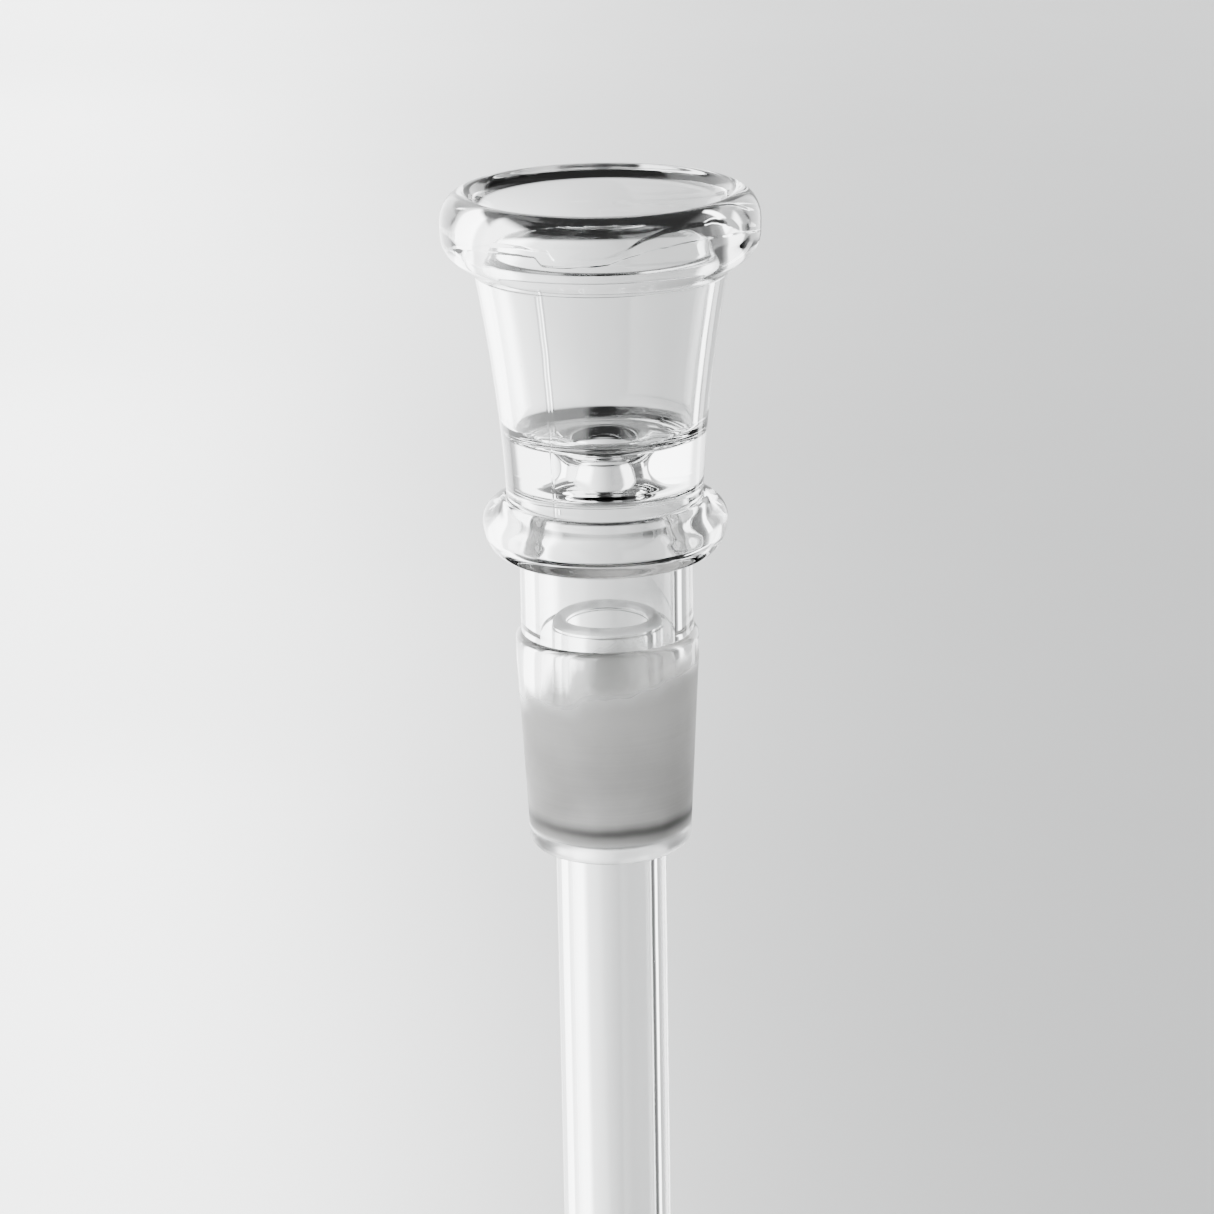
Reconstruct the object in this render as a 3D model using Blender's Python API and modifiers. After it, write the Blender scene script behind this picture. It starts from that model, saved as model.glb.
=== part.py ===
"""Lamp-worked glass funnel with a ground cone and a long stem.

Metres, +Z up.  The origin is the centre of the ground cone's gauge plane, where the
cone is 18.8 mm across.  Every piece of glass is a turned ring about the Z axis: a
closed outline in the X-Z plane, spun by a Screw modifier.  Outlines run down their
outer side and back up their inner side, so that the faces point out of the glass.
"""
import math

import bmesh
import bpy

MM = 0.001

# How finely the rings are turned.
SEGMENTS = 48

# Neighbouring pieces of glass are fused on the real object; here they keep this gap.
GAP = 0.3 * MM

# Ground cone: standard 18.8 mm gauge diameter, 1 in 10 taper on the diameter.
GAUGE_RADIUS = 9.4 * MM
TAPER_PER_RADIUS = 0.05
GROUND_DEPTH = 17.0 * MM
HEAD_RADIUS = 9.5 * MM
HEAD_HEIGHT = 3.9 * MM
HEAD_EDGE = 0.7 * MM

# Neck tube between the cone and the grip ring; the cone shares its bore.
NECK_RADIUS = 8.95 * MM
BORE_RADIUS = 7.0 * MM

# Grip ring blown out where the neck meets the cup: a thick bulge with a slight hollow.
RING_RADIUS = 12.6 * MM
RING_Z = 16.5 * MM
RING_HALF_WIDTH = 2.6 * MM
RING_HALF_UP = 2.3 * MM
RING_HALF_DOWN = 3.7 * MM
RING_WALL = 2.3 * MM
RING_CAVITY_UP = 0.9 * MM
RING_CAVITY_DOWN = 1.8 * MM
RING_TOP_Z = 19.0 * MM
RING_BOTTOM_Z = 12.3 * MM

# Cup: a gently flared tube with a thick floor across it and a bead around its lip.
FLARE_START_Z = 18.05 * MM
FLARE_HEIGHT = 28.85 * MM
FLARE_POWER = 1.6
FLARE = 3.6 * MM
CUP_BASE_RADIUS = 10.12 * MM
CUP_TOP_Z = 44.0 * MM
CUP_WALL = 1.5 * MM
FLOOR_TOP_Z = 25.2 * MM
FLOOR_THICKNESS = 4.8 * MM
FLOOR_HOLE_RADIUS = 3.0 * MM
FLOOR_LIP = 2.3 * MM

# Bead around the lip: a round-cornered collar that draws in under its side to the wall.
RIM_RADIUS = 16.2 * MM
RIM_TOP_Z = 50.6 * MM
RIM_CORNER = 2.4 * MM
RIM_SHOULDER_Z = 47.6 * MM
RIM_SIDE_Z = 46.5 * MM
RIM_UNDER_WIDTH = 2.6 * MM
RIM_UNDERSIDE = 3.0 * MM
RIM_UNDER_ANGLE = 50
RIM_SKIRT_Z = 42.2 * MM
RIM_SKIRT_EDGE = 0.35 * MM

# Stem tube: runs up through the cone and ends inside the neck.
STEM_RADIUS = 5.8 * MM
STEM_WALL = 1.6 * MM
STEM_TOP_Z = 6.2 * MM
STEM_END_Z = -94.7 * MM
STEM_POLISH = 0.7 * MM
STEM_CHAMFER = 0.3 * MM

# Collar that closes the cone's narrow end onto the stem.
SEAL_HEIGHT = 1.7 * MM
SEAL_ROUND = 1.3 * MM

CLEAR_GLASS = (0.86, 0.90, 0.89)
GROUND_GLASS = (0.62, 0.65, 0.65)


def clear_the_scene():
    """Start from nothing, without touching the open file."""
    for old in list(bpy.data.objects):
        bpy.data.objects.remove(old, do_unlink=True)


def new_collection(name):
    """A collection of its own for the object's parts."""
    collection = bpy.data.collections.new(name)
    bpy.context.scene.collection.children.link(collection)
    return collection


def glass(name, colour, roughness, transmission):
    """A Principled glass for one piece."""
    material = bpy.data.materials.new(name)
    material.use_nodes = True
    shader = material.node_tree.nodes["Principled BSDF"]
    shader.inputs["Base Color"].default_value = (*colour, 1.0)
    shader.inputs["Roughness"].default_value = roughness
    shader.inputs["Metallic"].default_value = 0.0
    shader.inputs["IOR"].default_value = 1.47
    shader.inputs["Transmission Weight"].default_value = transmission
    return material


def arc(centre, half, start_deg, end_deg, count):
    """Points on an upright ellipse; 90 degrees is its top, 0 its outer side."""
    points = []
    for step in range(count + 1):
        angle = math.radians(start_deg + (end_deg - start_deg) * step / count)
        points.append((centre[0] + half[0] * math.cos(angle), centre[1] + half[1] * math.sin(angle)))
    return points


def bezier(start, pull_start, pull_end, end, count):
    """Points on a cubic curve, its ends included."""
    points = []
    for step in range(count + 1):
        t = step / count
        s = 1.0 - t
        weights = (s * s * s, 3 * s * s * t, 3 * s * t * t, t * t * t)
        corners = (start, pull_start, pull_end, end)
        points.append(tuple(sum(w * p[axis] for w, p in zip(weights, corners)) for axis in (0, 1)))
    return points


def cup_outer_radius(z):
    """Outer radius of the cup's wall: nearly straight at the base, flared at the top."""
    t = (z - FLARE_START_Z) / FLARE_HEIGHT
    return CUP_BASE_RADIUS + FLARE * max(t, 0.0) ** FLARE_POWER


def cup_inner_radius(z):
    """Inner radius of the cup's wall."""
    return cup_outer_radius(z) - CUP_WALL


def cone_radius(z):
    """Radius of the ground cone's surface at a height below the gauge plane."""
    return GAUGE_RADIUS + TAPER_PER_RADIUS * z


def levels(low, high, count):
    """Evenly spaced heights from low to high, both included."""
    return [low + (high - low) * step / count for step in range(count + 1)]


def rim_bead_outline():
    """The bead stands on the wall's top edge and laps down over its outside."""
    crest_radius = RIM_RADIUS - RIM_CORNER
    foot = (cup_inner_radius(CUP_TOP_Z), CUP_TOP_Z + GAP)
    inner_side = arc((crest_radius, foot[1]), (crest_radius - foot[0], RIM_TOP_Z - foot[1]), 180, 90, 6)
    corner = arc((crest_radius, RIM_SHOULDER_Z), (RIM_CORNER, RIM_TOP_Z - RIM_SHOULDER_Z), 90, 0, 6)
    underside = arc((RIM_RADIUS - RIM_UNDER_WIDTH, RIM_SIDE_Z), (RIM_UNDER_WIDTH, RIM_UNDERSIDE),
                    0, -RIM_UNDER_ANGLE, 4)
    turn = underside[-1]
    skirt = (cup_outer_radius(RIM_SKIRT_Z) + GAP + RIM_SKIRT_EDGE, RIM_SKIRT_Z)
    fillet = bezier(turn, (turn[0] - 0.7 * MM, turn[1] - 0.7 * MM),
                    (skirt[0] + 0.15 * MM, skirt[1] + 0.6 * MM), skirt, 4)
    lap = [(cup_outer_radius(z) + GAP, z) for z in levels(RIM_SKIRT_Z, CUP_TOP_Z, 3)]
    shelf = [(cup_outer_radius(CUP_TOP_Z) + GAP, CUP_TOP_Z + GAP)]
    return corner + underside + fillet[1:] + lap + shelf + inner_side[:-1]


def cup_wall_outline():
    """The flared tube of the cup, from the grip ring up into the bead."""
    heights = levels(RING_TOP_Z + GAP, CUP_TOP_Z, 9)
    down = [(cup_outer_radius(z), z) for z in reversed(heights)]
    up = [(cup_inner_radius(z), z) for z in heights]
    return down + up


def cup_floor_outline():
    """A thick disc with a central hole whose two lips are fire-polished round."""
    bottom_z = FLOOR_TOP_Z - FLOOR_THICKNESS
    reach = FLOOR_HOLE_RADIUS + FLOOR_LIP
    top_lip = arc((reach, FLOOR_TOP_Z - FLOOR_LIP), (FLOOR_LIP, FLOOR_LIP), 180, 90, 4)
    bottom_lip = arc((reach, bottom_z + FLOOR_LIP), (FLOOR_LIP, FLOOR_LIP), 270, 180, 4)
    outer = [(cup_inner_radius(z) - GAP, z) for z in (FLOOR_TOP_Z, bottom_z)]
    return outer + bottom_lip + top_lip


def grip_ring_outline():
    """A blown ring whose bore swells a little, then steps down from the cup's to the neck's."""
    centre = (RING_RADIUS - RING_HALF_WIDTH, RING_Z)
    cup_bore = cup_inner_radius(RING_TOP_Z)
    upper = arc(centre, (RING_HALF_WIDTH, RING_HALF_UP), 76, 0, 5)
    lower = arc(centre, (RING_HALF_WIDTH, RING_HALF_DOWN), 0, -80, 5)
    neck = bezier(lower[-1], (lower[-1][0] - 0.7 * MM, lower[-1][1] - 0.25 * MM),
                  (NECK_RADIUS, RING_BOTTOM_Z + 0.5 * MM), (NECK_RADIUS, RING_BOTTOM_Z), 3)
    hollow_width = RING_HALF_WIDTH - RING_WALL
    hollow = arc(centre, (hollow_width, RING_CAVITY_DOWN), -60, 0, 3)
    hollow += arc(centre, (hollow_width, RING_CAVITY_UP), 0, 60, 3)[1:]
    bore = bezier((BORE_RADIUS, RING_BOTTOM_Z), (BORE_RADIUS, RING_BOTTOM_Z + 1.0 * MM),
                  (hollow[0][0] - 0.6 * MM, hollow[0][1] - 0.9 * MM), hollow[0], 4)
    mouth = bezier(hollow[-1], (hollow[-1][0] - 0.4 * MM, hollow[-1][1] + 0.6 * MM),
                   (cup_bore, RING_TOP_Z - 0.8 * MM), (cup_bore, RING_TOP_Z), 4)
    outer = [(cup_outer_radius(RING_TOP_Z), RING_TOP_Z)] + upper + lower[1:] + neck[1:]
    return outer + bore + hollow[1:] + mouth[1:]


def neck_tube_outline():
    """A plain tube between the grip ring and the cone's head."""
    top_z = RING_BOTTOM_Z - GAP
    bottom_z = HEAD_HEIGHT + HEAD_EDGE + GAP
    return [(NECK_RADIUS, top_z), (NECK_RADIUS, bottom_z), (BORE_RADIUS, bottom_z), (BORE_RADIUS, top_z)]


def ground_cone_outline():
    """The clear head with its rounded shoulder, and the ground taper below it."""
    top_z = HEAD_HEIGHT + HEAD_EDGE
    end_radius = cone_radius(-GROUND_DEPTH)
    shoulder = arc((HEAD_RADIUS - HEAD_EDGE, HEAD_HEIGHT), (HEAD_EDGE, HEAD_EDGE), 90, 0, 4)
    head = [(HEAD_RADIUS, 0.3 * HEAD_HEIGHT), (GAUGE_RADIUS, 0.0)]
    taper = [(cone_radius(-GROUND_DEPTH / 2), -GROUND_DEPTH / 2), (end_radius, -GROUND_DEPTH)]
    bore = [(BORE_RADIUS, -GROUND_DEPTH), (BORE_RADIUS, top_z)]
    return shoulder + head + taper + bore


def stem_seal_outline():
    """The collar under the cone, rounded at its lower outer edge."""
    top_z = -GROUND_DEPTH - GAP
    bottom_z = top_z - SEAL_HEIGHT
    outer_radius = cone_radius(top_z)
    inner_radius = STEM_RADIUS + GAP
    corner = arc((outer_radius - SEAL_ROUND, bottom_z + SEAL_ROUND), (SEAL_ROUND, SEAL_ROUND), 0, -90, 5)
    return [(outer_radius, top_z)] + corner + [(inner_radius, bottom_z), (inner_radius, top_z)]


def stem_tube_outline():
    """A long tube with a fire-polished upper end and a square, lightly bevelled lower end."""
    bore = STEM_RADIUS - STEM_WALL
    polish = (STEM_POLISH, STEM_POLISH)
    top_outer = arc((STEM_RADIUS - STEM_POLISH, STEM_TOP_Z - STEM_POLISH), polish, 90, 0, 3)
    top_inner = arc((bore + STEM_POLISH, STEM_TOP_Z - STEM_POLISH), polish, 180, 90, 3)
    bottom = [
        (STEM_RADIUS, STEM_END_Z + STEM_CHAMFER),
        (STEM_RADIUS - STEM_CHAMFER, STEM_END_Z),
        (bore + STEM_CHAMFER, STEM_END_Z),
        (bore, STEM_END_Z + STEM_CHAMFER),
    ]
    return top_outer + bottom + top_inner


def turned(name, outline, collection, material):
    """Spin a closed outline about Z into one ring of glass."""
    mesh = bpy.data.meshes.new(name)
    shape = bmesh.new()
    corners = [shape.verts.new((radius, 0.0, height)) for radius, height in outline]
    for here, after in zip(corners, corners[1:] + corners[:1]):
        shape.edges.new((here, after))
    shape.to_mesh(mesh)
    shape.free()
    piece = bpy.data.objects.new(name, mesh)
    collection.objects.link(piece)
    spin = piece.modifiers.new("Spin", "SCREW")
    spin.axis = "Z"
    spin.angle = 2.0 * math.pi
    spin.steps = SEGMENTS
    spin.render_steps = SEGMENTS
    spin.use_smooth_shade = True
    spin.merge_threshold = 0.0001 * MM
    mesh.materials.append(material)
    return piece


def main():
    """Build the funnel from its eight pieces of glass."""
    clear_the_scene()
    funnel = new_collection("glass_funnel")
    clear_pieces = {
        "rim_bead": rim_bead_outline(),
        "cup_wall": cup_wall_outline(),
        "cup_floor": cup_floor_outline(),
        "grip_ring": grip_ring_outline(),
        "neck_tube": neck_tube_outline(),
        "stem_seal": stem_seal_outline(),
        "stem_tube": stem_tube_outline(),
    }
    for name, outline in clear_pieces.items():
        turned(name, outline, funnel, glass(name + "_glass", CLEAR_GLASS, 0.02, 1.0))
    turned("ground_cone", ground_cone_outline(), funnel,
           glass("ground_cone_glass", GROUND_GLASS, 0.55, 0.8))


main()
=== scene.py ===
"""Looks of the glass funnel: fine turned glass, camera, floor and soft studio light.

Metres, +Z up, in the frame of the CAD model, whose origin is the centre of the ground
cone's gauge plane.  Every piece is turned from its own outline and replaces its faceted
CAD node.  Where two pieces are fused there is no wall between them, as in the real glass,
so light passes through the whole as through one body.  The meshes are therefore open
where they meet.
"""
import math

import bpy
import numpy as np
from mathutils import Matrix, Vector


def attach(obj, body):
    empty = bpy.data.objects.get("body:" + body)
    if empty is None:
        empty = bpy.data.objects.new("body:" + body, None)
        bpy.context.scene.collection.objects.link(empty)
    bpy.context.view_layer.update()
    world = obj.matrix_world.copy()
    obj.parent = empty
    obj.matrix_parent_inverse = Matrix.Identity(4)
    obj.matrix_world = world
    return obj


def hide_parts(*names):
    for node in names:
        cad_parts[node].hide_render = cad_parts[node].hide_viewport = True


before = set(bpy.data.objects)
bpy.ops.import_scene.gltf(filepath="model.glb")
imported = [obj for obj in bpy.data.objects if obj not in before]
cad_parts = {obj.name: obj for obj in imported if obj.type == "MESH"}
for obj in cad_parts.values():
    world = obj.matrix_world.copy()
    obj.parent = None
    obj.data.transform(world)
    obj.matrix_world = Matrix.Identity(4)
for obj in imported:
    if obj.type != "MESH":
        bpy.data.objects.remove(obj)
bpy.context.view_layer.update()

MM = 0.001

# Turning: steps around the axis, and steps along arcs, curved walls and straight stretches.
AROUND = 256
STEP = 0.22 * MM
WALL_STEP = 2 * STEP
LINE_STEP = 3 * STEP
SHORT_CURVE, GROOVE_CURVE, LIP_CURVE, LONG_CURVE = 8, 10, 12, 24
SHARP_ANGLE = 30

# ------------------------------------------------------------------ sizes of the glass
GAUGE_RADIUS = 9.4 * MM
TAPER = 0.05
HEAD_RADIUS = 9.5 * MM
HEAD_TOP = 4.6 * MM
HEAD_EDGE = 0.8 * MM
HEAD_DRAWS_IN = 0.3
NECK_RADIUS = 8.95 * MM
BORE_RADIUS = 7.0 * MM

RING_RADIUS = 12.6 * MM
RING_Z = 16.5 * MM
RING_HALF_UP = 2.3 * MM
RING_HALF_DOWN = 3.7 * MM
RING_HALF_WIDTH = 2.6 * MM
RING_WALL = 2.3 * MM
RING_CAVITY_UP = 0.9 * MM
RING_CAVITY_DOWN = 1.8 * MM
RING_LOW_Z = 12.3 * MM
RING_HIGH_Z = 19.0 * MM
RING_ARC_TOP, RING_ARC_BOTTOM, GROOVE_ARC = 76, -80, 60

# Handles of the curves that lead the ring and its groove into their neighbours: along the
# neighbour's wall, and (inward, upward) from the ring's own end.
SHOULDER_REACH, SHOULDER_PULL = 0.4 * MM, (-0.5 * MM, 0.15 * MM)
NECK_REACH, NECK_PULL = 0.5 * MM, (-0.7 * MM, -0.25 * MM)
GROOVE_LOW_REACH, GROOVE_LOW_PULL = 1.0 * MM, (-0.6 * MM, -0.9 * MM)
GROOVE_HIGH_REACH, GROOVE_HIGH_PULL = 0.8 * MM, (-0.4 * MM, 0.6 * MM)

CUP_BASE_Z = 18.05 * MM
CUP_BASE_RADIUS = 10.12 * MM
CUP_TOP_Z = 46.9 * MM
CUP_FLARE = 3.6 * MM
CUP_FLARE_POWER = 1.6
CUP_WALL = 1.5 * MM
FLOOR_TOP_Z = 25.2 * MM
FLOOR_BOTTOM_Z = 20.4 * MM
FLOOR_HOLE = 3.0 * MM
FLOOR_LIP = 2.3 * MM
FLOOR_FILLET_TOP = 2.2 * MM
FLOOR_FILLET_LOW = 0.8 * MM

RIM_RADIUS = 16.2 * MM
RIM_TOP_Z = 50.6 * MM
RIM_Z = 46.5 * MM
RIM_CORNER = 2.4 * MM
RIM_SHOULDER_Z = 47.6 * MM
RIM_UNDER_WIDTH = 2.6 * MM
RIM_UNDERSIDE = 3.0 * MM
RIM_UNDER_ANGLE = 50
RIM_SKIRT_Z = 42.2 * MM
RIM_UNDER_PULL, RIM_FOOT_PULL = (-0.7 * MM, -0.7 * MM), (0.15 * MM, 0.6 * MM)
RIM_INNER_Z = 44.0 * MM
RIM_INNER_RADIUS = 12.1 * MM

STEM_RADIUS = 5.8 * MM
STEM_BORE = 4.2 * MM
STEM_TOP_Z = 6.2 * MM
STEM_LIP = 1.4 * MM
STEM_LIP_RADIUS = 5.0 * MM
STEM_LIP_TAPER = 1.2 * MM
STEM_LIP_PULL = 0.4 * STEM_LIP_TAPER
STEM_BEVEL = 0.3 * MM
STEM_END_Z = -94.7 * MM

SEAL_TOP_Z = -17.3 * MM
SEAL_BOTTOM_Z = -19.0 * MM
SEAL_ROUND = 1.3 * MM

# The finish of each stretch of an outline.  A fused stretch gets no faces.
GLASS, GROUND, CUT, FUSED = 0, 1, 2, 3


# ------------------------------------------------------------------ outline helpers
def arc(centre, half, start_deg, end_deg):
    """Points on an upright ellipse in the outline's plane; 90 degrees is its top."""
    count = max(4, int(abs(math.radians(end_deg - start_deg)) * max(half) / STEP))
    angles = np.radians(np.linspace(start_deg, end_deg, count + 1))
    return [(centre[0] + half[0] * math.cos(a), centre[1] + half[1] * math.sin(a)) for a in angles]


def bezier(start, pull_start, pull_end, end, count=LONG_CURVE):
    """Points on a cubic curve, its ends included."""
    corners = np.array((start, pull_start, pull_end, end))
    points = []
    for t in np.linspace(0.0, 1.0, count + 1):
        s = 1.0 - t
        weights = np.array((s ** 3, 3 * s * s * t, 3 * s * t * t, t ** 3))
        points.append(tuple(weights @ corners))
    return points


def line(start, end):
    """Points on a straight stretch, close enough together to carry the glass's waviness."""
    length = math.dist(start, end)
    count = max(1, int(length / LINE_STEP))
    first, run = np.array(start), np.array(end) - np.array(start)
    return [tuple(first + run * k / count) for k in range(count + 1)]


def shifted(point, by):
    """A point moved outward and upward."""
    return point[0] + by[0], point[1] + by[1]


def cup_outer(z):
    """Outer radius of the cup at a height."""
    t = max(z - CUP_BASE_Z, 0.0) / (CUP_TOP_Z - CUP_BASE_Z)
    return CUP_BASE_RADIUS + CUP_FLARE * t ** CUP_FLARE_POWER


def cup_inner(z):
    """Inner radius of the cup at a height; it stops flaring inside the bead."""
    return min(cup_outer(z) - CUP_WALL, RIM_INNER_RADIUS)


def along(radius_at, z_start, z_end):
    """Points on a wall whose radius follows a function of height."""
    count = max(2, int(abs(z_end - z_start) / WALL_STEP))
    return [(radius_at(z), z) for z in np.linspace(z_start, z_end, count + 1)]


# ------------------------------------------------------------------ outlines, outer side down
def rim_bead():
    """Over the crest, down the side, in under it to the cup's wall, and up the inside."""
    crest_radius = RIM_RADIUS - RIM_CORNER
    inner_foot = (cup_inner(RIM_INNER_Z), RIM_INNER_Z)
    crest = arc((crest_radius, RIM_SHOULDER_Z), (RIM_CORNER, RIM_TOP_Z - RIM_SHOULDER_Z), 90, 0)
    side = line(crest[-1], (RIM_RADIUS, RIM_Z))
    under = arc((RIM_RADIUS - RIM_UNDER_WIDTH, RIM_Z), (RIM_UNDER_WIDTH, RIM_UNDERSIDE),
                0, -RIM_UNDER_ANGLE)
    foot = (cup_outer(RIM_SKIRT_Z), RIM_SKIRT_Z)
    fillet = bezier(under[-1], shifted(under[-1], RIM_UNDER_PULL), shifted(foot, RIM_FOOT_PULL), foot)
    inner_half = (crest_radius - inner_foot[0], RIM_TOP_Z - inner_foot[1])
    inner = arc((crest_radius, inner_foot[1]), inner_half, 180, 90)
    outer = crest + side[1:] + under[1:] + fillet[1:]
    return [(outer, GLASS), (line(foot, inner_foot), FUSED), (inner, GLASS)]


def cup_wall():
    """Two flared walls; the inner one is fused to the floor slab over its height."""
    outer = along(cup_outer, RIM_SKIRT_Z, RING_HIGH_Z)
    base = line((cup_outer(RING_HIGH_Z), RING_HIGH_Z), (cup_inner(RING_HIGH_Z), RING_HIGH_Z))
    low_z = FLOOR_BOTTOM_Z - FLOOR_FILLET_LOW
    high_z = FLOOR_TOP_Z + FLOOR_FILLET_TOP
    below = along(cup_inner, RING_HIGH_Z, low_z)
    beside = along(cup_inner, low_z, high_z)
    above = along(cup_inner, high_z, RIM_INNER_Z)
    top = line((cup_inner(RIM_INNER_Z), RIM_INNER_Z), (cup_outer(RIM_SKIRT_Z), RIM_SKIRT_Z))
    return [(outer, GLASS), (base, FUSED), (below, GLASS),
            (beside, FUSED), (above, GLASS), (top, FUSED)]


def cup_floor():
    """A slab with a round-lipped hole and a fillet up the wall above and below."""
    reach = FLOOR_HOLE + FLOOR_LIP
    high_z = FLOOR_TOP_Z + FLOOR_FILLET_TOP
    low_z = FLOOR_BOTTOM_Z - FLOOR_FILLET_LOW
    side = along(cup_inner, high_z, low_z)
    low_fillet = arc((cup_inner(low_z) - FLOOR_FILLET_LOW, low_z),
                     (FLOOR_FILLET_LOW, FLOOR_FILLET_LOW), 0, 90)
    under = line(low_fillet[-1], (reach, FLOOR_BOTTOM_Z))
    low_lip = arc((reach, FLOOR_BOTTOM_Z + FLOOR_LIP), (FLOOR_LIP, FLOOR_LIP), 270, 180)
    high_lip = arc((reach, FLOOR_TOP_Z - FLOOR_LIP), (FLOOR_LIP, FLOOR_LIP), 180, 90)
    high_fillet = arc((cup_inner(high_z) - FLOOR_FILLET_TOP, high_z),
                      (FLOOR_FILLET_TOP, FLOOR_FILLET_TOP), 270, 360)
    over = line(high_lip[-1], high_fillet[0])
    free = low_fillet + under[1:] + low_lip[1:] + high_lip + over[1:] + high_fillet[1:]
    return [(side, FUSED), (free, GLASS)]


def grip_ring():
    """A bulge outside and a shallow groove inside, led into the cup above and the neck below."""
    centre = (RING_RADIUS - RING_HALF_WIDTH, RING_Z)
    high_out, high_in = cup_outer(RING_HIGH_Z), cup_inner(RING_HIGH_Z)
    bulge = arc(centre, (RING_HALF_WIDTH, RING_HALF_UP), RING_ARC_TOP, 0)
    bulge += arc(centre, (RING_HALF_WIDTH, RING_HALF_DOWN), 0, RING_ARC_BOTTOM)[1:]
    outer = bezier((high_out, RING_HIGH_Z), (high_out, RING_HIGH_Z - SHOULDER_REACH),
                   shifted(bulge[0], SHOULDER_PULL), bulge[0], SHORT_CURVE)
    outer += bulge[1:]
    outer += bezier(outer[-1], shifted(outer[-1], NECK_PULL),
                    (NECK_RADIUS, RING_LOW_Z + NECK_REACH), (NECK_RADIUS, RING_LOW_Z), SHORT_CURVE)[1:]
    base = line(outer[-1], (BORE_RADIUS, RING_LOW_Z))
    groove = arc(centre, (RING_HALF_WIDTH - RING_WALL, RING_CAVITY_DOWN), -GROOVE_ARC, 0)
    groove += arc(centre, (RING_HALF_WIDTH - RING_WALL, RING_CAVITY_UP), 0, GROOVE_ARC)[1:]
    bore = bezier((BORE_RADIUS, RING_LOW_Z), (BORE_RADIUS, RING_LOW_Z + GROOVE_LOW_REACH),
                  shifted(groove[0], GROOVE_LOW_PULL), groove[0], GROOVE_CURVE)
    bore += groove[1:]
    bore += bezier(groove[-1], shifted(groove[-1], GROOVE_HIGH_PULL),
                   (high_in, RING_HIGH_Z - GROOVE_HIGH_REACH), (high_in, RING_HIGH_Z), GROOVE_CURVE)[1:]
    top = line((high_in, RING_HIGH_Z), (high_out, RING_HIGH_Z))
    return [(outer, GLASS), (base, FUSED), (bore, GLASS), (top, FUSED)]


def neck_tube():
    """A plain tube from the ring down to the cone's head."""
    outer = line((NECK_RADIUS, RING_LOW_Z), (NECK_RADIUS, HEAD_TOP))
    base = line((NECK_RADIUS, HEAD_TOP), (BORE_RADIUS, HEAD_TOP))
    bore = line((BORE_RADIUS, HEAD_TOP), (BORE_RADIUS, RING_LOW_Z))
    top = line((BORE_RADIUS, RING_LOW_Z), (NECK_RADIUS, RING_LOW_Z))
    return [(outer, GLASS), (base, FUSED), (bore, GLASS), (top, FUSED)]


def ground_cone():
    """A round-edged head that draws in to the gauge line, then the ground taper."""
    edge = arc((HEAD_RADIUS - HEAD_EDGE, HEAD_TOP - HEAD_EDGE), (HEAD_EDGE, HEAD_EDGE), 80, 0)
    head = [(NECK_RADIUS, HEAD_TOP)] + edge
    shoulder = (HEAD_RADIUS, HEAD_DRAWS_IN * HEAD_TOP)
    head += line(edge[-1], shoulder)[1:]
    head += line(shoulder, (GAUGE_RADIUS, 0.0))[1:]
    low = (GAUGE_RADIUS + TAPER * SEAL_TOP_Z, SEAL_TOP_Z)
    taper = line((GAUGE_RADIUS, 0.0), low)
    base = line(low, (BORE_RADIUS, SEAL_TOP_Z))
    bore = line((BORE_RADIUS, SEAL_TOP_Z), (BORE_RADIUS, HEAD_TOP))
    top = line((BORE_RADIUS, HEAD_TOP), (NECK_RADIUS, HEAD_TOP))
    return [(head + taper[1:], GROUND), (base, FUSED), (bore, GLASS), (top, FUSED)]


def stem_seal():
    """The round-cornered collar between the cone's low end and the stem."""
    outer_radius = GAUGE_RADIUS + TAPER * SEAL_TOP_Z
    corner = arc((outer_radius - SEAL_ROUND, SEAL_BOTTOM_Z + SEAL_ROUND),
                 (SEAL_ROUND, SEAL_ROUND), 0, -90)
    outer = [(outer_radius, SEAL_TOP_Z)] + corner + [(STEM_RADIUS, SEAL_BOTTOM_Z)]
    side = line((STEM_RADIUS, SEAL_BOTTOM_Z), (STEM_RADIUS, SEAL_TOP_Z))
    gap = line((STEM_RADIUS, SEAL_TOP_Z), (BORE_RADIUS, SEAL_TOP_Z))
    top = line((BORE_RADIUS, SEAL_TOP_Z), (outer_radius, SEAL_TOP_Z))
    return [(outer, GLASS), (side, FUSED), (gap, GLASS), (top, FUSED)]


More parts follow.
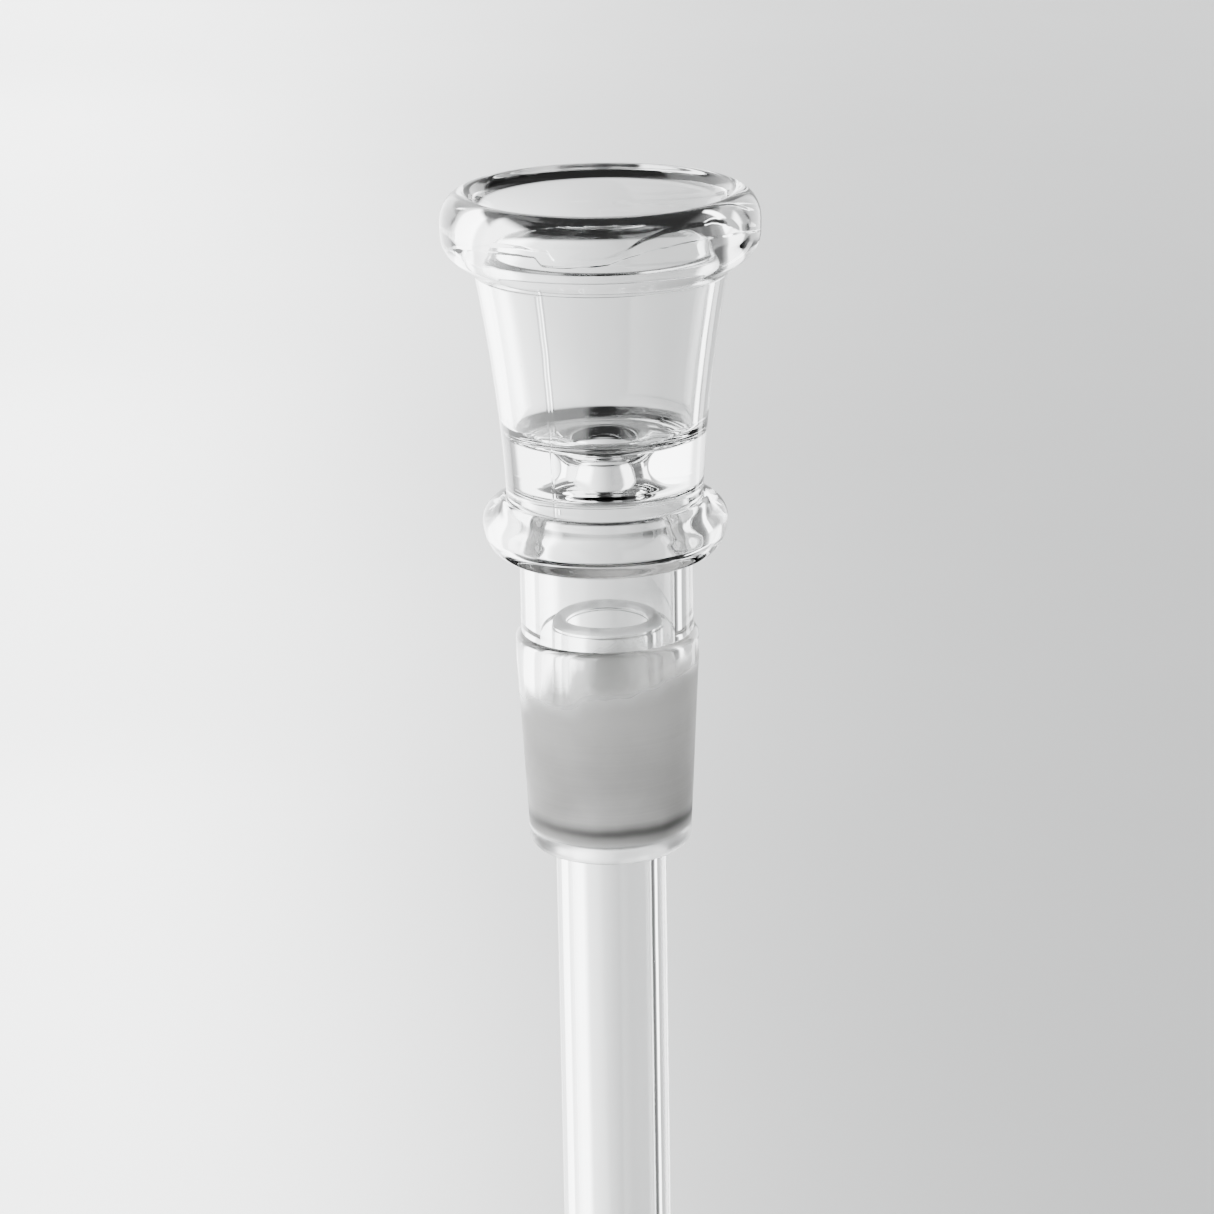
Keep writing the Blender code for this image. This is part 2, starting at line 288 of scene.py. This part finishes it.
def stem_tube():
    """A long tube with a melted, slightly narrowed top and a bevelled end."""
    polish = 0.5 * STEM_LIP
    top = arc((STEM_LIP_RADIUS, STEM_TOP_Z - polish), (polish, polish), 180, 0)
    full_z = STEM_TOP_Z - STEM_LIP_TAPER
    outer_lip, inner_lip = top[-1], top[0]
    upper = bezier(outer_lip, (outer_lip[0], outer_lip[1] - STEM_LIP_PULL),
                   (STEM_RADIUS, full_z + STEM_LIP_PULL), (STEM_RADIUS, full_z), LIP_CURVE)
    upper += line((STEM_RADIUS, full_z), (STEM_RADIUS, SEAL_TOP_Z))[1:]
    sealed = line((STEM_RADIUS, SEAL_TOP_Z), (STEM_RADIUS, SEAL_BOTTOM_Z))
    bevel_z = STEM_END_Z + STEM_BEVEL
    lower = line((STEM_RADIUS, SEAL_BOTTOM_Z), (STEM_RADIUS, bevel_z))
    end = [lower[-1], (STEM_RADIUS - STEM_BEVEL, STEM_END_Z), (STEM_BORE + STEM_BEVEL, STEM_END_Z),
           (STEM_BORE, bevel_z)]
    bore = line((STEM_BORE, bevel_z), (STEM_BORE, full_z))
    bore += bezier((STEM_BORE, full_z), (STEM_BORE, full_z + STEM_LIP_PULL),
                   (inner_lip[0], inner_lip[1] - STEM_LIP_PULL), inner_lip, LIP_CURVE)[1:]
    return [(top, CUT), (upper, GLASS), (sealed, FUSED),
            (lower, GLASS), (end, CUT), (bore, GLASS)]


def turn(name, stretches, materials):
    """Spins an outline of stretches into a ring; each stretch has its own finish.

    Each stretch ends on the point that the next one starts with, so its last point is left
    out.  The ring is closed except along its fused stretches, which get no faces.
    """
    points, kinds = [], []
    for stretch, kind in stretches:
        for here in stretch[:-1]:
            points.append(here)
            kinds.append(kind)
    outline = np.array(points)
    count = len(outline)
    angles = np.arange(AROUND) * (2 * math.pi / AROUND)
    ring = np.stack((np.outer(np.cos(angles), outline[:, 0]),
                     np.outer(np.sin(angles), outline[:, 0]),
                     np.tile(outline[:, 1], (AROUND, 1))), axis=-1)
    vertices = ring.reshape(-1, 3)
    a = np.arange(AROUND)[:, None] * count
    b = ((np.arange(AROUND) + 1) % AROUND)[:, None] * count
    here = np.arange(count)[None, :]
    after = (np.arange(count)[None, :] + 1) % count
    faces = np.stack((a + here, a + after, b + after, b + here), axis=-1).reshape(-1, 4)
    finish = np.tile(kinds, AROUND)
    kept = finish != FUSED
    mesh = bpy.data.meshes.new(name)
    mesh.from_pydata(vertices.tolist(), [], faces[kept].tolist())
    for material in materials:
        mesh.materials.append(material)
    mesh.polygons.foreach_set("material_index", finish[kept].astype(np.int32))
    mesh.shade_smooth()
    mesh.set_sharp_from_angle(angle=math.radians(SHARP_ANGLE))
    piece = bpy.data.objects.new(name, mesh)
    bpy.context.scene.collection.objects.link(piece)
    return piece


# ------------------------------------------------------------------ node helpers
def feed(tree, socket, value):
    """Sets an input to a number, or links it to another node's output."""
    if isinstance(value, (int, float)):
        socket.default_value = value
    else:
        tree.links.new(value, socket)


def maths(tree, operation, *values):
    """A Math node on sockets or numbers."""
    node = tree.nodes.new("ShaderNodeMath")
    node.operation = operation
    for socket, value in zip(node.inputs, values):
        feed(tree, socket, value)
    return node.outputs[0]


def rescale(tree, value, start, end, low, high, kind="LINEAR"):
    """Maps start..end to low..high and holds both ends."""
    node = tree.nodes.new("ShaderNodeMapRange")
    node.interpolation_type = kind
    for name, number in zip(("From Min", "From Max", "To Min", "To Max"), (start, end, low, high)):
        node.inputs[name].default_value = number
    tree.links.new(value, node.inputs["Value"])
    return node.outputs["Result"]


def smooth_step(tree, value, start, end):
    """0 before start, 1 after end, with a soft change between them; start may be the larger."""
    return rescale(tree, value, start, end, 0.0, 1.0, "SMOOTHSTEP")


def inside(tree, value, low, high, soft):
    """1 between two limits, falling softly to 0 outside them."""
    return maths(tree, "MULTIPLY", smooth_step(tree, value, low - soft, low + soft),
                 smooth_step(tree, value, high + soft, high - soft))


def position(tree):
    """Where on the object a point is, in metres."""
    return tree.nodes.new("ShaderNodeTexCoord").outputs["Object"]


def split(tree, vector):
    """The X, Y and Z of a vector."""
    axes = tree.nodes.new("ShaderNodeSeparateXYZ")
    tree.links.new(vector, axes.inputs[0])
    return axes.outputs["X"], axes.outputs["Y"], axes.outputs["Z"]


def even(tree, value, low, high):
    """Maps the usual range of a noise to low..high."""
    return rescale(tree, value, *NOISE_RANGE, low, high)


def noise(tree, size, stretch=(1.0, 1.0, 1.0), detail=2.0):
    """Noise whose features are about size metres across, times the stretch along each axis."""
    scaled = tree.nodes.new("ShaderNodeMapping")
    scaled.inputs["Scale"].default_value = tuple(1.0 / (size * factor) for factor in stretch)
    tree.links.new(position(tree), scaled.inputs["Vector"])
    node = tree.nodes.new("ShaderNodeTexNoise")
    node.inputs["Scale"].default_value = 1.0
    node.inputs["Detail"].default_value = detail
    tree.links.new(scaled.outputs[0], node.inputs["Vector"])
    return node.outputs["Fac"]


def blend_colour(tree, factor, first, second):
    """A colour between two, by a factor."""
    node = tree.nodes.new("ShaderNodeValToRGB")
    node.color_ramp.elements[0].color = (*first, 1.0)
    node.color_ramp.elements[1].color = (*second, 1.0)
    tree.links.new(factor, node.inputs["Fac"])
    return node.outputs["Color"]


def mix_colour(tree, factor, first, second):
    """A mix of a colour output and a second one, which may be a plain colour."""
    node = tree.nodes.new("ShaderNodeMix")
    node.data_type = "RGBA"
    tree.links.new(factor, node.inputs["Factor"])
    tree.links.new(first, node.inputs[6])
    if isinstance(second, tuple):
        node.inputs[7].default_value = (*second, 1.0)
    else:
        tree.links.new(second, node.inputs[7])
    return node.outputs[2]


def add_up(tree, values):
    """The sum of several outputs."""
    total = values[0]
    for value in values[1:]:
        total = maths(tree, "ADD", total, value)
    return total


def raise_surface(tree, shader, height):
    """Bump from a height in metres."""
    node = tree.nodes.new("ShaderNodeBump")
    node.inputs["Strength"].default_value = 1.0
    node.inputs["Distance"].default_value = 1.0
    tree.links.new(height, node.inputs["Height"])
    tree.links.new(node.outputs["Normal"], shader.inputs["Normal"])


def new_glass(name):
    """A material with one Principled glass; returns it, its tree and the shader."""
    material = bpy.data.materials.new(name)
    material.use_nodes = True
    tree = material.node_tree
    shader = tree.nodes["Principled BSDF"]
    shader.inputs["IOR"].default_value = GLASS_IOR
    shader.inputs["Transmission Weight"].default_value = 1.0
    return material, tree, shader


# ------------------------------------------------------------------ materials
GLASS_IOR = 1.473
NOISE_RANGE = (0.3, 0.7)
CLEAR_TINT, CLEAR_TINT_DEEP = (0.988, 0.991, 0.989), (0.972, 0.979, 0.977)
TINT_SIZE = 27.0 * MM
SMEAR_SIZE, SMEAR_FROM, SMEAR_TO, SMEAR_ROUGHNESS = 5.0 * MM, 0.42, 0.75, 0.09
WAVE_SIZE, WAVE_HEIGHT = 9.0 * MM, 0.016 * MM
DRAW_SIZE, DRAW_STRETCH, DRAW_HEIGHT = 1.1 * MM, 26.0, 0.0022 * MM
SEED_SPACING, SEED_RADIUS, SEED_HEIGHT, SEED_SHARE = 2.6 * MM, 0.09 * MM, 0.05 * MM, 0.22

# One draw line down the cup: its angle from the front, how far it wanders and its half width
# in degrees, its height, and the size and stretch of the noise that it wanders by.
LINE_ANGLE, LINE_WANDER, LINE_WIDTH, LINE_HEIGHT = -30.0, 0.5, 1.1, 0.022 * MM
WANDER_SIZE, WANDER_STRETCH = 7.0 * MM, (40.0, 40.0, 1.0)

# The bead's outer seam: the curve's handles (degrees from the front, height in mm), the step
# that it makes, and its small wobble.
SEAM_COURSE = ((-100, 44.8), (-75, 45.5), (-50, 46.9), (-24, 46.95), (-20, 46.1), (-2, 46.3),
               (10, 47.0), (22, 47.7), (37, 48.0), (50, 47.8), (85, 46.6), (110, 46.0))
SEAM_STEP, SEAM_SOFT = 0.055 * MM, 0.16 * MM
SEAM_WOBBLE, SEAM_WOBBLE_SIZE = 0.08 * MM, 2.5 * MM

# Ground glass: how it scatters, its tones from top to bottom (painted shade, darker downward), the edge
# of the grinding and its slope to the right, the band of painted shade and where the grinding ends.
GROUND_CLARITY = 0.2
GROUND_ROUGHNESS, ROUGHNESS_BY_CLOUD = 0.6, 0.6
# From the top height down to the bottom height the ground tone darkens: painted shade on the cone's lower
# part.
GROUND_PALE, GROUND_DARK = (0.60, 0.592, 0.580), (0.26, 0.253, 0.247)
SHADE_TOP_Z, SHADE_BOTTOM_Z, SHADE_AT_TOP, SHADE_AT_BOTTOM = -3.0 * MM, -14.0 * MM, 0.05, 0.55
CLOUD_SIZE, CLOUD_DEPTH = 6.0 * MM, 0.12
GROUND_EDGE_Z, GROUND_EDGE_SOFT, GROUND_EDGE_SLOPE = -0.5 * MM, 1.8 * MM, 0.2
RAGGED_SIZE, RAGGED = 4.0 * MM, 0.5 * MM
# A band of painted shade near the grinding's end: a near-black tone and little transmission stand in for the
# dark refraction there.
SHADE_BAND_LOW_Z, SHADE_BAND_HIGH_Z, SHADE_BAND_SOFT, SHADE_BAND_RAGGED = -15.8 * MM, -14.7 * MM, 0.9 * MM, 0.15
GROUND_END_Z, GROUND_END_SOFT = -16.7 * MM, 0.5 * MM
SHADE_BAND_TONE, SHADE_BAND_CLARITY = (0.03, 0.0295, 0.029), 0.02
GRAIN_SIZE, GRAIN_HEIGHT = 0.12 * MM, 0.006 * MM
GRIND_RING_SIZE, GRIND_RING_STRETCH, GRIND_RING_DEPTH = 0.25 * MM, (60.0, 60.0, 1.0), 0.05
HAZE_SIZE, HAZE_LOW, HAZE_HIGH = 1.5 * MM, 0.32, 0.48
CUT_SIZE, CUT_LOW, CUT_HIGH, CUT_GRAIN_HEIGHT = 1.0 * MM, 0.6, 0.85, 0.003 * MM


def glass_surface(tree):
    """The heights of blown glass: a slow waviness, fine draw lines and a few seeds."""
    wave = maths(tree, "MULTIPLY", noise(tree, WAVE_SIZE), WAVE_HEIGHT)
    draw = maths(tree, "MULTIPLY", noise(tree, DRAW_SIZE, (1.0, 1.0, DRAW_STRETCH)), DRAW_HEIGHT)
    cells = tree.nodes.new("ShaderNodeTexVoronoi")
    cells.inputs["Scale"].default_value = 1.0 / SEED_SPACING
    tree.links.new(position(tree), cells.inputs["Vector"])
    bubble = smooth_step(tree, cells.outputs["Distance"], SEED_RADIUS / SEED_SPACING, 0.0)
    chance = split(tree, cells.outputs["Color"])[0]
    chosen = maths(tree, "LESS_THAN", chance, SEED_SHARE)
    seed = maths(tree, "MULTIPLY", maths(tree, "MULTIPLY", bubble, chosen), SEED_HEIGHT)
    return [wave, draw, seed]


def clear_colour(tree):
    """Almost colourless, and slightly deeper in places."""
    return blend_colour(tree, noise(tree, TINT_SIZE), CLEAR_TINT_DEEP, CLEAR_TINT)


def clear_roughness(tree):
    """Polished, with faint smears from handling."""
    smears = noise(tree, SMEAR_SIZE, detail=5.0)
    return rescale(tree, smears, SMEAR_FROM, SMEAR_TO, 0.0, SMEAR_ROUGHNESS, "SMOOTHSTEP")


def angle_from_front(tree):
    """Degrees around the axis from the side that faces the camera, growing to the right."""
    x, y, _ = split(tree, position(tree))
    return maths(tree, "DEGREES", maths(tree, "ARCTAN2", x, maths(tree, "MULTIPLY", y, -1.0)))


def draw_line(tree):
    """A raised line down the cup, left by the tube's drawing."""
    wander = even(tree, noise(tree, WANDER_SIZE, WANDER_STRETCH), -LINE_WANDER, LINE_WANDER)
    angle = maths(tree, "ADD", maths(tree, "SUBTRACT", angle_from_front(tree), LINE_ANGLE), wander)
    ridge = smooth_step(tree, maths(tree, "ABSOLUTE", angle), LINE_WIDTH, 0.0)
    return maths(tree, "MULTIPLY", ridge, LINE_HEIGHT)


def rim_seam(tree):
    """The step where the bead's last gather of glass was laid over itself."""
    first, last = SEAM_COURSE[0], SEAM_COURSE[-1]
    heights = [height for _, height in SEAM_COURSE]
    course = tree.nodes.new("ShaderNodeFloatCurve")
    curve = course.mapping.curves[0]
    low, high = min(heights), max(heights)
    span = last[0] - first[0]
    points = [((a - first[0]) / span, (h - low) / (high - low)) for a, h in SEAM_COURSE]
    curve.points[0].location, curve.points[-1].location = points[0], points[-1]
    for point in points[1:-1]:
        curve.points.new(*point)
    course.mapping.update()
    across = rescale(tree, angle_from_front(tree), first[0], last[0], 0.0, 1.0)
    tree.links.new(across, course.inputs["Value"])
    seam_z = rescale(tree, course.outputs[0], 0.0, 1.0, low * MM, high * MM)
    wobble = even(tree, noise(tree, SEAM_WOBBLE_SIZE), -SEAM_WOBBLE, SEAM_WOBBLE)
    _, _, z = split(tree, position(tree))
    above = maths(tree, "SUBTRACT", maths(tree, "SUBTRACT", z, seam_z), wobble)
    return maths(tree, "MULTIPLY", smooth_step(tree, above, -SEAM_SOFT, SEAM_SOFT), SEAM_STEP)


def clear_glass(name, *features):
    """Clear glass, with any features that only its piece has."""
    material, tree, shader = new_glass(name)
    tree.links.new(clear_colour(tree), shader.inputs["Base Color"])
    tree.links.new(clear_roughness(tree), shader.inputs["Roughness"])
    heights = glass_surface(tree) + [feature(tree) for feature in features]
    raise_surface(tree, shader, add_up(tree, heights))
    return material


def ground_glass():
    """Clear head, matt grinding below it with painted shade near its end, and haze down to the seal."""
    material, tree, shader = new_glass("ground_glass")
    x, _, z = split(tree, position(tree))
    ragged = even(tree, noise(tree, RAGGED_SIZE, detail=1.0), -RAGGED, RAGGED)
    level = maths(tree, "ADD", maths(tree, "MULTIPLY_ADD", x, -GROUND_EDGE_SLOPE, z), ragged)
    below_edge = smooth_step(tree, level, GROUND_EDGE_Z + GROUND_EDGE_SOFT,
                             GROUND_EDGE_Z - GROUND_EDGE_SOFT)
    above_end = smooth_step(tree, z, GROUND_END_Z - GROUND_END_SOFT, GROUND_END_Z + GROUND_END_SOFT)
    matt = maths(tree, "MULTIPLY", below_edge, above_end)
    cloud = even(tree, noise(tree, CLOUD_SIZE, detail=4.0), -CLOUD_DEPTH, CLOUD_DEPTH)
    rings = even(tree, noise(tree, GRIND_RING_SIZE, GRIND_RING_STRETCH), -GRIND_RING_DEPTH, GRIND_RING_DEPTH)
    # Painted shade: the matt glass darkens towards the cone's low end; the cloud and grinding rings add
    # uneven tone.
    shade_and_cloud = add_up(tree, [rescale(tree, z, SHADE_TOP_Z, SHADE_BOTTOM_Z, SHADE_AT_TOP, SHADE_AT_BOTTOM), cloud, rings])
    ground_colour = blend_colour(tree, shade_and_cloud, GROUND_PALE, GROUND_DARK)
    # Painted shade: a near-black band near the grinding's end, where the curved low end looks dark.
    shade_band_level = maths(tree, "MULTIPLY_ADD", ragged, SHADE_BAND_RAGGED, z)
    shade_band = inside(tree, shade_band_level, SHADE_BAND_LOW_Z, SHADE_BAND_HIGH_Z, SHADE_BAND_SOFT)
    with_shade_band = mix_colour(tree, shade_band, ground_colour, SHADE_BAND_TONE)
    tree.links.new(mix_colour(tree, matt, clear_colour(tree), with_shade_band), shader.inputs["Base Color"])
    rough = maths(tree, "MULTIPLY_ADD", cloud, ROUGHNESS_BY_CLOUD, GROUND_ROUGHNESS)
    matt_rough = maths(tree, "MULTIPLY", matt, rough)
    end_haze = maths(tree, "MULTIPLY", maths(tree, "SUBTRACT", 1.0, above_end), HAZE_HIGH)
    tree.links.new(maths(tree, "MAXIMUM", matt_rough, end_haze), shader.inputs["Roughness"])
    # The band of painted shade also lets less light through.
    clarity = rescale(tree, shade_band, 0.0, 1.0, GROUND_CLARITY, SHADE_BAND_CLARITY)
    see_through = maths(tree, "MAXIMUM", clarity, maths(tree, "SUBTRACT", 1.0, matt))
    tree.links.new(see_through, shader.inputs["Transmission Weight"])
    matt_grain = maths(tree, "MULTIPLY", noise(tree, GRAIN_SIZE, detail=3.0), matt)
    grain = maths(tree, "MULTIPLY", matt_grain, GRAIN_HEIGHT)
    raise_surface(tree, shader, add_up(tree, glass_surface(tree) + [grain]))
    return material


def hazed_glass():
    """Clear glass with a slight haze, for the seal, whose round corner would else look black."""
    material, tree, shader = new_glass("hazed_glass")
    tree.links.new(clear_colour(tree), shader.inputs["Base Color"])
    haze = even(tree, noise(tree, HAZE_SIZE, detail=4.0), HAZE_LOW, HAZE_HIGH)
    tree.links.new(haze, shader.inputs["Roughness"])
    raise_surface(tree, shader, add_up(tree, glass_surface(tree)))
    return material


def cut_glass():
    """A sawn and lightly melted end, on both ends of the stem."""
    material, tree, shader = new_glass("cut_glass")
    tree.links.new(clear_colour(tree), shader.inputs["Base Color"])
    sawn = even(tree, noise(tree, CUT_SIZE, detail=4.0), CUT_LOW, CUT_HIGH)
    tree.links.new(sawn, shader.inputs["Roughness"])
    grain = maths(tree, "MULTIPLY", noise(tree, GRAIN_SIZE, detail=3.0), CUT_GRAIN_HEIGHT)
    raise_surface(tree, shader, add_up(tree, glass_surface(tree) + [grain]))
    return material


# ------------------------------------------------------------------ world
# What the glass sees around it, by direction from the object.  These zones stand in for
# softboxes and dark walls.  They were fitted to the tones of the photographed glass, and
# are not a record of a real room.  Azimuth is 0 straight away from the camera and grows to
# the right; both angles are in degrees:
# (azimuth from, to, elevation from, to, edge softness, brightness)
AROUND_THE_GLASS = {
    "dark ceiling": (-200, 200, 34, 100, 6, 0.22),
    "left softbox": (-46, -12, -30, 16, 3, 9.0),
    "left wall": (-104, -58, -42, 45, 5, 5.0),
    "right softbox": (18, 46, -14, 26, 3, 6.5),
    "low softbox": (38, 48, -40, -14, 1.5, 8.0),
    "right wall": (52, 118, -40, 34, 4, 0.2),
}

# The sky that the camera sees directly, and the one that lights matt surfaces, by X.
SKY_TINT = (0.985, 0.995, 1.0)
SKY_BRIGHTNESS = 1.6
SKY_FILL_LEFT, SKY_FILL_RIGHT, SKY_FILL_EDGE = 0.85, 0.05, 0.9

# Under those zones: a backdrop from left to right, and the darkness below it.  Over them:
# the darkness around the camera, by the angle from the camera's direction.
BACKDROP_LEFT, BACKDROP_RIGHT = 4.2, 1.05
BACKDROP_LEFT_AT, BACKDROP_RIGHT_AT = -16, 7
BELOW_BRIGHTNESS = 0.02
BELOW_FROM, BELOW_TO = -27, -31
BEHIND_BRIGHTNESS = 0.04
BEHIND_FROM, BEHIND_TO = 36, 30


def studio_world():
    """The zones around the glass, with other skies for camera rays and for diffuse rays."""
    world = bpy.data.worlds.new("studio")
    world.use_nodes = True
    tree = world.node_tree
    tree.nodes.clear()
    direction = tree.nodes.new("ShaderNodeTexCoord").outputs["Generated"]
    axes = tree.nodes.new("ShaderNodeSeparateXYZ")
    tree.links.new(direction, axes.inputs[0])
    azimuth = maths(tree, "DEGREES", maths(tree, "ARCTAN2", axes.outputs["X"], axes.outputs["Y"]))
    elevation = maths(tree, "DEGREES", maths(tree, "ARCSINE", axes.outputs["Z"]))
    towards_camera = maths(tree, "MULTIPLY", axes.outputs["Y"], -1.0)
    from_behind = maths(tree, "DEGREES", maths(tree, "ARCCOSINE", towards_camera))

    def lay_over(under, factor, amount):
        """The brightness so far, with another laid over it by a factor."""
        node = tree.nodes.new("ShaderNodeMix")
        tree.links.new(factor, node.inputs[0])
        tree.links.new(under, node.inputs[2])
        feed(tree, node.inputs[3], amount)
        return node.outputs[0]

    to_right = smooth_step(tree, azimuth, BACKDROP_LEFT_AT, BACKDROP_RIGHT_AT)
    backdrop = maths(tree, "MULTIPLY_ADD", to_right, BACKDROP_RIGHT - BACKDROP_LEFT, BACKDROP_LEFT)
    below = smooth_step(tree, elevation, BELOW_FROM, BELOW_TO)
    brightness = lay_over(backdrop, below, BELOW_BRIGHTNESS)
    for low_az, high_az, low_el, high_el, soft, amount in AROUND_THE_GLASS.values():
        factor = maths(tree, "MULTIPLY", inside(tree, azimuth, low_az, high_az, soft),
                       inside(tree, elevation, low_el, high_el, soft))
        brightness = lay_over(brightness, factor, amount)
    behind = smooth_step(tree, from_behind, BEHIND_FROM, BEHIND_TO)
    brightness = lay_over(brightness, behind, BEHIND_BRIGHTNESS)
    rays = tree.nodes.new("ShaderNodeLightPath")
    brightness = lay_over(brightness, rays.outputs["Is Camera Ray"], SKY_BRIGHTNESS)
    fill = rescale(tree, axes.outputs["X"], -SKY_FILL_EDGE, SKY_FILL_EDGE, SKY_FILL_LEFT, SKY_FILL_RIGHT)
    brightness = lay_over(brightness, rays.outputs["Is Diffuse Ray"], fill)
    shader = tree.nodes.new("ShaderNodeBackground")
    shader.inputs["Color"].default_value = (*SKY_TINT, 1.0)
    tree.links.new(brightness, shader.inputs["Strength"])
    out = tree.nodes.new("ShaderNodeOutputWorld")
    tree.links.new(shader.outputs[0], out.inputs["Surface"])
    return world


def soft_panel(name, place, facing, along, length, width, radiance):
    """A rectangular light that lights matt surfaces but isn't seen in or through the glass."""
    data = bpy.data.lights.new(name, "AREA")
    data.shape = "RECTANGLE"
    data.size = length
    data.size_y = width
    data.energy = radiance * length * width * math.pi
    light = bpy.data.objects.new(name, data)
    back = -Vector(facing).normalized()
    side = Vector(along).normalized()
    facing_matrix = Matrix((side, back.cross(side), back)).transposed().to_4x4()
    light.matrix_world = Matrix.Translation(Vector(place)) @ facing_matrix
    light.visible_camera = False
    light.visible_glossy = False
    light.visible_transmission = False
    bpy.context.scene.collection.objects.link(light)


def floor_lights():
    """A row of panels that widens with distance down the left, and a fill from behind.

    The row starts near the camera's foot and follows the left edge of the view, so the
    floor darkens evenly from left to right, as much close by as far away.
    """
    angle = math.radians(ROW_ANGLE)
    along = Vector((-math.sin(angle), math.cos(angle), 0.0))
    across = Vector((math.cos(angle), math.sin(angle), 0.0))
    tilt = math.radians(ROW_TILT)
    facing = across * math.sin(tilt) - Vector((0.0, 0.0, math.cos(tilt)))
    for step in range(ROW_COUNT):
        reach = ROW_START * ROW_GROWTH ** step
        place = Vector((0.0, ROW_FOOT_Y, STEM_END_Z + ROW_HEIGHT * reach)) + along * reach
        soft_panel("row_panel", place, facing, along,
                   ROW_LENGTH * reach, ROW_WIDTH * reach, ROW_RADIANCE)
    tilt = math.radians(FILL_TILT)
    soft_panel("fill_panel", (0.0, FILL_Y, STEM_END_Z + FILL_HEIGHT),
               (0.0, -math.sin(tilt), -math.cos(tilt)), (1.0, 0.0, 0.0),
               FILL_LENGTH, FILL_WIDTH, FILL_RADIANCE)


def floor_paint():
    """Matt pale card with a fine tooth."""
    material = bpy.data.materials.new("pale_floor")
    material.use_nodes = True
    tree = material.node_tree
    shader = tree.nodes["Principled BSDF"]
    shader.inputs["Specular IOR Level"].default_value = FLOOR_SPECULAR
    cloud = noise(tree, FLOOR_CLOUD_SIZE, detail=4.0)
    tree.links.new(blend_colour(tree, cloud, FLOOR_TONE_LOW, FLOOR_TONE_HIGH), shader.inputs["Base Color"])
    tooth = noise(tree, FLOOR_TOOTH_SIZE, detail=4.0)
    tree.links.new(even(tree, tooth, FLOOR_ROUGHNESS_LOW, FLOOR_ROUGHNESS_HIGH), shader.inputs["Roughness"])
    raise_surface(tree, shader, maths(tree, "MULTIPLY", tooth, FLOOR_TOOTH_HEIGHT))
    return material


# ------------------------------------------------------------------ the pieces
clear = clear_glass("clear_glass")
cup = clear_glass("cup_glass", draw_line)
rim = clear_glass("rim_glass", rim_seam)
ground = ground_glass()
hazed = hazed_glass()
cut = cut_glass()

OUTLINES = {
    "rim_bead": rim_bead, "cup_wall": cup_wall, "cup_floor": cup_floor, "grip_ring": grip_ring,
    "neck_tube": neck_tube, "ground_cone": ground_cone, "stem_seal": stem_seal, "stem_tube": stem_tube,
}
OWN_GLASS = {"rim_bead": rim, "cup_wall": cup, "stem_seal": hazed}
for node, outline in OUTLINES.items():
    body = OWN_GLASS.get(node, clear)
    piece = turn("glass_" + node, outline(), (body, ground, cut))
    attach(piece, "root")
    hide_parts(node)
    piece.visible_shadow = False

# ------------------------------------------------------------------ camera
AIM_Z = 6.7 * MM
PITCH = math.radians(17.4)
DISTANCE = 399.0 * MM
ROLL = math.radians(1.02)
FOCAL, SENSOR = 114.2, 36.0
CLIP_START, CLIP_END = 0.01, 20.0

camera = bpy.data.objects.new("camera", bpy.data.cameras.new("camera"))
camera.data.lens = FOCAL
camera.data.sensor_width = SENSOR
camera.data.clip_start = CLIP_START
camera.data.clip_end = CLIP_END
direction = Vector((0, math.cos(PITCH), -math.sin(PITCH)))
turn_to = direction.to_track_quat("-Z", "Y").to_matrix().to_4x4()
camera.matrix_world = (Matrix.Translation(Vector((0, 0, AIM_Z)) - direction * DISTANCE)
                       @ turn_to @ Matrix.Rotation(-ROLL, 4, "Z"))
bpy.context.scene.collection.objects.link(camera)
bpy.context.scene.camera = camera

# ------------------------------------------------------------------ floor and light
# Metres and degrees.  The row's heights, lengths and widths are shares of the panel's reach.
FLOOR_SPAN = 16.0
FLOOR_TONE_LOW, FLOOR_TONE_HIGH = (0.80, 0.808, 0.806), (0.84, 0.848, 0.848)
FLOOR_CLOUD_SIZE, FLOOR_TOOTH_SIZE, FLOOR_TOOTH_HEIGHT = 60.0 * MM, 1.2 * MM, 0.03 * MM
FLOOR_SPECULAR, FLOOR_ROUGHNESS_LOW, FLOOR_ROUGHNESS_HIGH = 0.1, 0.85, 0.95
ROW_FOOT_Y = -0.381
ROW_ANGLE = 10.2
ROW_HEIGHT = 0.099
ROW_START = 0.25
ROW_GROWTH = 1.45
ROW_COUNT = 7
ROW_LENGTH = 0.37
ROW_WIDTH = 0.2
ROW_TILT = 0.7
ROW_RADIANCE = 7.0
FILL_Y = 1.3
FILL_HEIGHT = 0.83
FILL_TILT = 30
FILL_LENGTH = 1.6
FILL_WIDTH = 0.6
FILL_RADIANCE = 3.2

# The glass neither shows nor reflects the floor: what it sees is the world's zones.
floor_mesh = bpy.data.meshes.new("floor")
half_span = 0.5 * FLOOR_SPAN
floor_mesh.from_pydata([(-half_span, -half_span, STEM_END_Z), (half_span, -half_span, STEM_END_Z),
                        (half_span, half_span, STEM_END_Z), (-half_span, half_span, STEM_END_Z)],
                       [], [(0, 1, 2, 3)])
floor_mesh.materials.append(floor_paint())
floor = bpy.data.objects.new("floor", floor_mesh)
floor.visible_transmission = False
floor.visible_glossy = False
bpy.context.scene.collection.objects.link(floor)

bpy.context.scene.world = studio_world()
floor_lights()
